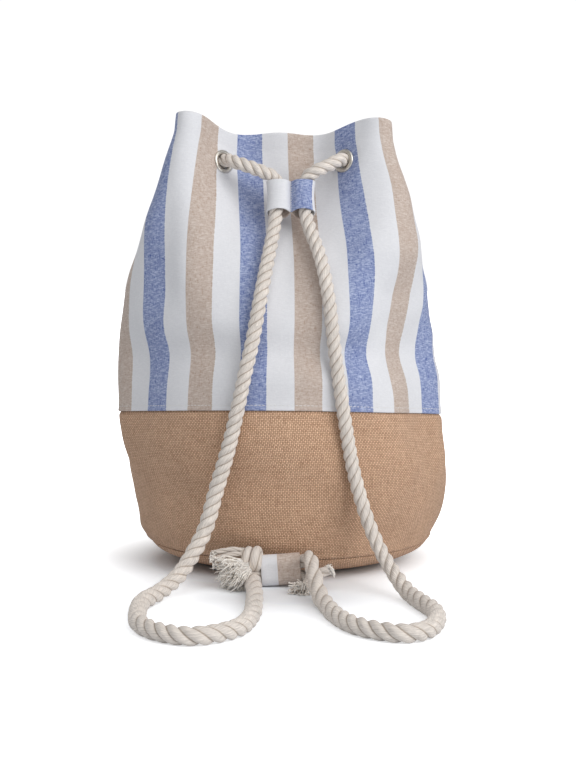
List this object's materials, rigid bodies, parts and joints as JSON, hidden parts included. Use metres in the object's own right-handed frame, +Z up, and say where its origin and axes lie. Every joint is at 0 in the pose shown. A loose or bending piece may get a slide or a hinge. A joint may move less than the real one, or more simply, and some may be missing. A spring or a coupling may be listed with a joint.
{
  "type": "drawstring backpack",
  "caption": "Drawstring beach backpack with a striped canvas body, a round jute bottom, and a thick twisted rope that closes the mouth and forms both shoulder straps.",
  "frame": {"origin": "on the flat underside of the base, below the middle of the bag's mouth", "axes": "+Z up out of the mouth, -Y out of the front that carries the keeper and the straps, +X to the right as seen from the front"},
  "size_m": [0.3066, 0.5059, 0.4011],
  "materials": {
    "canvas": "woven stripes in blue, white and beige",
    "jute": "coarse plain weave",
    "rope": "three-strand twisted cotton",
    "eyelet": "dull aged metal"
  },
  "bodies": {
    "root": {"upper_body": "canvas", "lower_body": "jute", "base_panel": "jute", "eyelet_1": "eyelet", "eyelet_2": "eyelet", "eyelet_3": "eyelet", "eyelet_4": "eyelet", "eyelet_5": "eyelet", "eyelet_6": "eyelet", "eyelet_7": "eyelet", "eyelet_8": "eyelet", "keeper": "canvas", "rope_tab": "canvas", "rope": "rope", "knot_left": "rope", "knot_right": "rope"}
  },
  "joints": []
}
